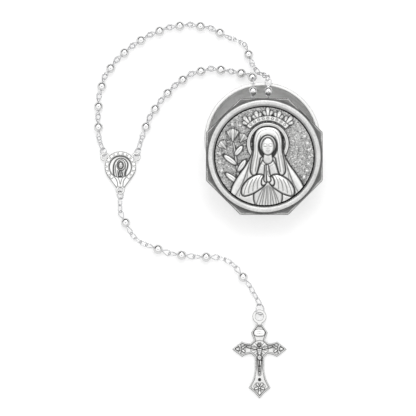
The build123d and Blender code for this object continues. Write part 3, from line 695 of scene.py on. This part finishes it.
def medallion_rim():
    """The raised rim, turned from its section: a flat back, a rounded outer edge and a steep inner wall."""
    inner, outer, top = MEDAL_RADIUS_MM - RIM_WIDTH_MM, MEDAL_RADIUS_MM, MEDAL_THICK_MM
    section = [(inner - 0.6, 0.0), (outer, 0.0), (outer, top - RIM_ROUND_MM)]
    for n in range(1, 6):
        a = radians(18 * n)
        section.append((outer - RIM_ROUND_MM * (1 - cos(a)), top - RIM_ROUND_MM * (1 - sin(a))))
    section += [(inner + 0.95, top), (inner + 0.7, top - 0.06), (inner + 0.15, top - 0.5),
                (inner, top - 0.7), (inner, 0.8), (inner - 0.6, 0.8)]
    mesh = bpy.data.meshes.new("medallion_rim")
    mesh.from_pydata([(r, 0, z) for r, z in section], [(n, n + 1) for n in range(len(section) - 1)], [])
    piece = new_piece("medallion_rim", mesh)
    bpy.ops.object.mode_set(mode="EDIT")
    bpy.ops.mesh.select_all(action="SELECT")
    bpy.ops.mesh.spin(steps=180, angle=2 * pi, center=(0, 0, 0), axis=(0, 0, 1))
    bpy.ops.mesh.select_all(action="SELECT")
    bpy.ops.mesh.remove_doubles(threshold=0.001)
    bpy.ops.mesh.normals_make_consistent(inside=False)
    bpy.ops.object.mode_set(mode="OBJECT")
    bpy.ops.object.shade_smooth_by_angle(angle=radians(35))
    return piece


def rubbed_silver():
    """The rim: pale, with fine scratches, black where the polish stays at its feet, and painted shade on its
    inner slope and rounded outer edge.
    """
    finish = Finish("rubbed_silver")
    place = own_place(finish, "lid_medallion")
    radius = finish.from_axis(place)
    low = finish.step(finish.part(place, "Z"), *RIM_FEET)
    painted_slope_shade = finish.step(radius, *RIM_SLOPE_SHADE)
    grain = finish.noise(1800, 4)
    drift = finish.noise(160, 2)
    outer = finish.step(radius, *RIM_TURN_SHADE)
    # Painted shade: the inner slope and the rounded outer edge are darkened in the colour.
    shade = (0.66 + 0.44 * grain - 0.30 * drift - 0.3 * painted_slope_shade) * (1 - 0.93 * low) - 0.2 * outer
    finish.set("Base Color", finish.mix(shade, (0.01, 0.01, 0.012), (1, 1, 0.99)))
    finish.set("Roughness", 0.34 + 0.15 * grain)
    finish.bump(grain, 0.00003, 0.4)
    return finish


relief_reach = MEDAL_RADIUS_MM - RIM_WIDTH_MM + RIM_LAP_MM
relief = struck_grid("medallion_relief", (relief_reach, relief_reach), RELIEF_STEP_MM, struck_medallion)
for piece, finish in ((relief, antiqued_silver("antiqued_silver")), (medallion_rim(), rubbed_silver())):
    piece.data.transform(lid_frame("lid_medallion") @ Matrix.Scale(MM, 4))
    piece.data.materials.append(finish.material)
    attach(piece, "lid")
    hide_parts("lid_medallion")


# ---- Beads ------------------------------------------------------------------------------------------
# Hollow seamless balls of plated brass, polished like mirrors and each bored through for its pin. The beads
# of the decades and the single ones between them are alike.
def mirror_polish():
    finish = Finish("mirror_polish")
    haze = finish.noise(500, 2)
    finish.set("Base Color", (0.88, 0.88, 0.88, 1))
    finish.set("Roughness", 0.05 + 0.05 * haze)
    return finish


bead_finish = mirror_polish()
for name in sorted(nodes):
    if "bead" in name:
        polished_copy(name, bead_finish, 40.0)


# ---- Pins, links and jump rings ---------------------------------------------------------------------
# Plated wire, bent to shape: a pin with an eye at each end through every bead, and oval links in the gaps.
# Round rings of slightly thicker wire join the strands to the centrepiece, and the crucifix to the drop.
def bright_wire():
    finish = Finish("bright_wire")
    marks = finish.noise(1200, 2)
    finish.set("Base Color", (0.70, 0.70, 0.71, 1))
    finish.set("Roughness", 0.16 + 0.12 * marks)
    return finish


wire_finish = bright_wire()
for name in sorted(nodes):
    if name.endswith(("_pins", "_links", "_ring")) or name.startswith("drop_pin"):
        polished_copy(name, wire_finish, 60.0)


# ---- Centrepiece ------------------------------------------------------------------------------------
# A small round silvered casting: studs round its edge, a veiled bust at prayer in a sunk field, and lugs
# for the three strands. Its studs and figure are cast in, and polish stays black in the cuts.
CENTRE_Y = -0.0105
CENTRE_RADIUS_MM = 6.8
CENTRE_HALF_MM = (6.8, 9.0)
CENTRE_FIELD_MM = 4.9
FIELD_SHEET_MM = 1.03
FIELD_CUT_MM = 1.02
BORDER_SHEET_MM = 1.87
BORDER_CUT_MM = 1.85
BUST_TOP_MM = 0.72
STUD_COUNT = 15
STUD_ARC_DEG = 280
STUD_CIRCLE_MM = 5.85
STUD_HALF_MM = 0.68
TAIL_SHOULDER_MM = (5.44, -4.08)
TAIL_TIP_MM = (1.8, -8.97)
CASTING_STEP_MM = 0.09
CASTING_EDGE_REACH = 0.0005
CASTING_RISE = (0.0002, 0.0012)


def cast_silver(name):
    """Palest high on a casting, with painted shade toward the table and painted dark reflections along the
    edges.
    """
    finish = Finish(name)
    high = finish.step(finish.part(finish.place, "Z"), *CASTING_RISE)
    grain = finish.noise(900, 3)
    # Painted shade low down and a painted dark reflection along the edges, both in the base colour.
    shade = (0.32 + 0.42 * high + 0.12 * grain) * (1 - 0.75 * finish.edge(CASTING_EDGE_REACH))
    finish.set("Base Color", finish.mix(shade, (0.01, 0.01, 0.012), (1, 1, 0.99)))
    finish.set("Roughness", 0.26 + 0.12 * grain)
    finish.bump(grain, 0.00004, 0.4)
    return finish


def struck_centrepiece(x, y):
    """The sunk field: a veiled bust with its hands joined, whose robes run down toward the tail."""
    die = Die(x, y)
    out = np.hypot(x, y)
    mantle = [(-2.2, -5.4), (-3.0, -2.6), (-2.9, 1.4), (-1.3, 3.7), (1.5, 3.8), (3.3, 1.8), (3.0, -0.6),
              (2.1, -2.4), (2.2, -5.4)]
    die.raise_form(outline(x, y, flowing(mantle)), 0.6, 1.2, 0.3, 0.95)
    die.raise_form(oval(x, y, (0.35, 0.8), 1.75, 2.3), 0.35, 0.3, 0.2, 0.6)
    skin = oval(x, y, (0.15, 0.75), 1.05, 1.5)
    die.raise_form(skin, 0.66, 0.8, 0.22, 0.75)
    for side in (-1, 1):
        die.cut((0.15 + side * 0.28, 1.05), (0.15 + side * 0.75, 1.0), 0.16, 0.05, 0.8)
        die.curve([(side * 2.1, 0.8), (side * 2.2, -1.8), (side * 1.3, -5.2)], 0.22, 0.12, 0.85)
        die.curve([(side * 1.2, -1.6), (side * 1.1, -3.2), (side * 0.5, -5.2)], 0.2, 0.1, 0.85)
        die.raise_form(bar(x, y, (side * 0.4, -3.9), (side * 0.2, -1.9), 0.4, 0.24), 0.68, 0.35, 0.2, 0.9)
    die.cut((-0.1, 0.2), (0.4, 0.2), 0.15, 0.05, 0.7)
    die.lay_polish_and_shade(0.9 * np.exp(-(((out - CENTRE_FIELD_MM + 0.12) / 0.3) ** 2)))
    shade = rubbed_shade(die, 0.8, 0.6, 0.0) * (1 - 0.3 * np.clip(skin / 0.3, 0, 1))
    return FIELD_SHEET_MM + np.minimum(die.height, BUST_TOP_MM), shade, out < CENTRE_FIELD_MM + 0.05


def struck_studs(x, y):
    """The border with its studs, and the tail, where the robes end in folds."""
    die = Die(x, y)
    out = np.hypot(x, y)
    for n in range(STUD_COUNT):
        a = radians(90 + STUD_ARC_DEG * (n / (STUD_COUNT - 1) - 0.5))
        stud = np.maximum(np.abs(out - STUD_CIRCLE_MM), np.abs(x * sin(a) - y * cos(a)))
        square = STUD_HALF_MM - np.where(x * cos(a) + y * sin(a) > 0, stud, 9)
        die.raise_form(square, 0.22, 0.25, 0.14, 0.55)
    right = [TAIL_TIP_MM, TAIL_SHOULDER_MM]
    tail = outline(x, y, [(-px, py) for px, py in reversed(right)] + right)
    for side in (-1, 1):
        die.curve([(side * 2.6, -4.6), (side * 1.3, -6.4), (side * 1.1, -8.9)], 0.2, 0.06, 0.85)
        die.curve([(side * 0.9, -5.1), (side * 0.3, -6.6), (0, -8.6)], 0.18, 0.06, 0.8)
    plate = np.maximum(np.where(y > -4.9, CENTRE_RADIUS_MM - out, -9), tail)
    # Painted dark reflection: a dark line along the plate's rounded outer edge.
    die.lay_polish_and_shade(0.6 * np.exp(-(((plate - 0.1) / 0.16) ** 2)))
    shade = rubbed_shade(die, 0.8, 0.82, 0.0, 0.15)
    return BORDER_SHEET_MM + die.height, shade, (out > CENTRE_FIELD_MM + 0.05) & (plate > 0.05)


def casting_middle(node, middle_y):
    """The point of the table under a casting's own middle, halfway across its box."""
    low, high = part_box(node)
    return Vector(((low.x + high.x) / 2, middle_y, 0))


def place_on(piece, node, middle_y, finish):
    """Puts a struck sheet, drawn round the casting's own middle, where the casting lies."""
    piece.data.transform(Matrix.Translation(casting_middle(node, middle_y)) @ Matrix.Scale(MM, 4))
    piece.data.materials.append(finish.material)
    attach(piece, nodes[node]["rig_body"])


struck_finish = antiqued_silver("struck_silver")
field_half = CENTRE_FIELD_MM + 0.1
bust = struck_grid("centrepiece_bust", (field_half, field_half), CASTING_STEP_MM, struck_centrepiece)
place_on(bust, "centrepiece", CENTRE_Y, struck_finish)
studs = struck_grid("centrepiece_studs", CENTRE_HALF_MM, CASTING_STEP_MM, struck_studs)
place_on(studs, "centrepiece", CENTRE_Y, struck_finish)
casting = polished_copy("centrepiece", cast_silver("cast_silver_centre"), 30.0)
points = (np.array([v.co for v in casting.data.vertices]) - casting_middle("centrepiece", CENTRE_Y)) / MM
sunk = np.hypot(points[:, 0], points[:, 1]) < CENTRE_FIELD_MM - 0.05
cut_away(casting, points[:, 2] > np.where(sunk, FIELD_CUT_MM, BORDER_CUT_MM))


# ---- Crucifix and corpus ----------------------------------------------------------------------------
# A silvered cast cross with a raised border, a nimbus, leaf work in its ends and a bare title scroll;
# the figure is a second casting, pegged on, and the lower peg hole stands open.
CROSS_Y = -0.0903
CROSS_HALF_MM = (12.0, 21.6)
CROSS_FACE_MM = 0.92
CROSS_BORDER_MM = 0.55
CROSS_RELIEF_TOP_MM = 0.42
NIMBUS_MM = 3.75
PEG_HOLE_Y_MM = -13.2
PEG_HOLE_MM = 0.42
PEG_HOLE_DEEP_MM = 0.5
PEG_SHADE_MM = 0.75
CORPUS_HALF_MM = (6.6, 11.2)
CORPUS_LIFT_MM = 0.02
CORPUS_TOP_MM = 1.9
CORPUS_STEP_MM = 0.06


def leaf_work(die, middle, reach, turn_deg):
    """A flower on a darkened ground, which fills an end of the cross."""
    away = np.hypot(die.x - middle[0], die.y - middle[1])
    die.lay_polish_and_shade(0.45 * np.exp(-((away / (1.25 * reach)) ** 4)))
    for n in range(5):
        a = radians(turn_deg + 72 * n)
        tip = (middle[0] + reach * cos(a), middle[1] + reach * sin(a))
        die.raise_form(bar(die.x, die.y, middle, tip, 0.22, 0.46), 0.3, 0.35, 0.2, 0.9)
    die.raise_form(oval(die.x, die.y, middle, 0.42, 0.42), 0.34, 0.3, 0.16, 0.85)


def struck_cross(x, y):
    """The face inside the border: leaf work, the bare scroll, the nimbus and the shade round the figure."""
    die = Die(x, y)
    half = [(0, 10.3), (1.3, 10.3), (3.5, 7.2), (2.2, 3.8), (3.8, 2.4), (5.6, 2.5), (7.5, 3.2), (11.6, 0),
            (7.5, -3.2), (5.3, -2.2), (3.4, -1.9), (1.95, -3.4), (1.95, -8.4), (2.75, -12.9), (4.65, -16.6),
            (2.0, -18.8), (0, -21.2)]
    face_depth = outline(x, y, half + [(-px, py) for px, py in reversed(half[1:-1])]) - CROSS_BORDER_MM
    die.lay_polish_and_shade(0.85 * np.exp(-(((face_depth - 0.05) / 0.2) ** 2)))
    for side in (-1, 1):
        leaf_work(die, (side * 8.0, 0.0), 1.7, 90 - side * 90)
        die.cut((side * 5.9, 1.2), (side * 5.9, -1.0), 0.13, 0.06, 0.6)
    leaf_work(die, (0.0, -16.6), 1.8, 270)
    die.raise_form(oval(x, y, (0.0, -19.0), 0.6, 0.9), 0.28, 0.3, 0.14, 0.8)
    for side in (-1, 1):
        die.curve([(side * 0.9, -14.6), (side * 2.2, -15.2), (side * 2.6, -16.4)], 0.14, 0.06, 0.7)
    scroll_edge = [(-2.1, 8.6), (2.1, 8.6), (2.5, 6.9), (1.9, 5.6), (-1.9, 5.6), (-2.5, 6.9)]
    scroll = outline(x, y, flowing(scroll_edge))
    die.raise_form(np.minimum(scroll, face_depth - 0.15), 0.3, 0.35, 0.16, 0.8)
    for line_y in (7.6, 6.6):
        die.cut((-1.5, line_y), (1.5, line_y), 0.11, 0.04, 0.5)
    for n in range(16):
        a = radians(22.5 * n + 11.25)
        start, end = (1.2 * cos(a), 1.2 * sin(a)), (3.6 * cos(a), 3.6 * sin(a))
        die.cut(start, end, 0.2, 0.08, 0.75)
    die.lay_polish_and_shade(0.75 * np.exp(-(((np.hypot(x, y) - NIMBUS_MM) / 0.2) ** 2)))
    figure = bar(x, y, (0, 1.8), (0, -4.2), 0.9, 0.8)
    figure = np.maximum(figure, bar(x, y, (0, -4.2), (0, -10.9), 0.85, 0.5))
    for side in (-1, 1):
        figure = np.maximum(figure, bar(x, y, (0, 0), (side * 6.3, 1.3), 0.45))
    die.lay_polish_and_shade(0.8 * np.exp(-(((figure + 0.1) / 0.22) ** 2)))
    # Painted shade: the open peg hole and a ring round it are coloured black.
    peg = np.hypot(x, y - PEG_HOLE_Y_MM)
    die.lay_polish_and_shade(np.where(peg < PEG_SHADE_MM, 1.0, 0))
    shade = rubbed_shade(die, 0.76, 0.80, 0.0, 0.15)
    height = np.where(peg < PEG_HOLE_MM, -PEG_HOLE_DEEP_MM, np.clip(die.height, 0, CROSS_RELIEF_TOP_MM))
    return CROSS_FACE_MM + height, shade, face_depth > -0.12


def struck_corpus(x, y):
    """The figure: arms a little raised, head bowed to its right, a wrapped cloth, and the feet together."""
    die = Die(x, y)
    forms = []

    def form(depth, height, edge):
        die.raise_form(depth, height, edge, 0.15, 0.7)
        forms.append(depth)

    for side in (-1, 1):
        form(bar(x, y, (side * 3.2, 0.5), (side * 5.7, 1.2), 0.36, 0.25), 0.75, 0.3)
        form(bar(x, y, (side * 0.8, 0.0), (side * 3.3, 0.5), 0.46, 0.34), 0.95, 0.4)
        form(oval(x, y, (side * 6.1, 1.3), 0.48, 0.27, side * 12), 0.6, 0.22)
        form(bar(x, y, (side * 0.3, -7.1), (side * 0.1, -10.2), 0.4, 0.25), 0.85, 0.35)
        form(bar(x, y, (side * 0.42, -4.0), (side * 0.28, -7.1), 0.58, 0.4), 1.05, 0.45)
    form(bar(x, y, (0.05, -10.2), (0.0, -10.8), 0.33, 0.26), 0.7, 0.25)
    chest = [(-1.2, 0.45), (1.2, 0.45), (1.15, -0.8), (0.62, -2.4), (0.8, -3.2), (-0.8, -3.2), (-0.62, -2.4),
             (-1.15, -0.8)]
    form(outline(x, y, flowing(chest)), 1.2, 0.6)
    for side in (-1, 1):
        die.curve([(side * 0.1, -0.7), (side * 0.6, -0.9), (side * 0.95, -0.4)], 0.12, 0.1, 0.6)
        for n in range(3):
            low = -1.15 - 0.36 * n
            die.cut((side * 0.22, low + 0.12), (side * 0.72, low), 0.09, 0.08, 0.5)
    die.cut((0.0, -0.5), (0.0, -2.2), 0.1, 0.06, 0.4)
    form(bar(x, y, (0.75, -3.0), (1.05, -4.9), 0.32, 0.2), 1.15, 0.25)
    cloth = [(-0.95, -2.6), (0.95, -2.8), (0.98, -4.2), (0.3, -5.1), (-0.9, -4.6)]
    form(outline(x, y, flowing(cloth)), 1.35, 0.4)
    for n in range(4):
        die.cut((-0.8 + 0.1 * n, -3.0 - 0.42 * n), (0.75, -3.15 - 0.3 * n), 0.1, 0.1, 0.6)
    form(bar(x, y, (-0.02, 0.3), (-0.12, 1.2), 0.34, 0.3), 1.2, 0.3)
    form(oval(x, y, (-0.1, 1.65), 0.78, 0.88, 8), 1.45, 0.4)
    form(oval(x, y, (-0.2, 1.5), 0.46, 0.62, 8), 1.75, 0.35)
    for side in (-1, 1):
        die.cut((-0.2 + side * 0.12, 1.62), (-0.2 + side * 0.3, 1.6), 0.07, 0.05, 0.5)
    shade = rubbed_shade(die, 0.4, 0.5, 0.0, 0.4)
    height = CROSS_FACE_MM + CORPUS_LIFT_MM + np.clip(die.height, 0, CORPUS_TOP_MM)
    return height, shade, np.maximum.reduce(forms) > -0.1


cross_face = struck_grid("crucifix_face", CROSS_HALF_MM, CASTING_STEP_MM, struck_cross)
place_on(cross_face, "crucifix", CROSS_Y, struck_finish)
polished_copy("crucifix", cast_silver("cast_silver_cross"), 30.0)
figure = struck_grid("corpus_figure", CORPUS_HALF_MM, CORPUS_STEP_MM, struck_corpus)
place_on(figure, "corpus", CROSS_Y, struck_finish)
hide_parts("corpus")
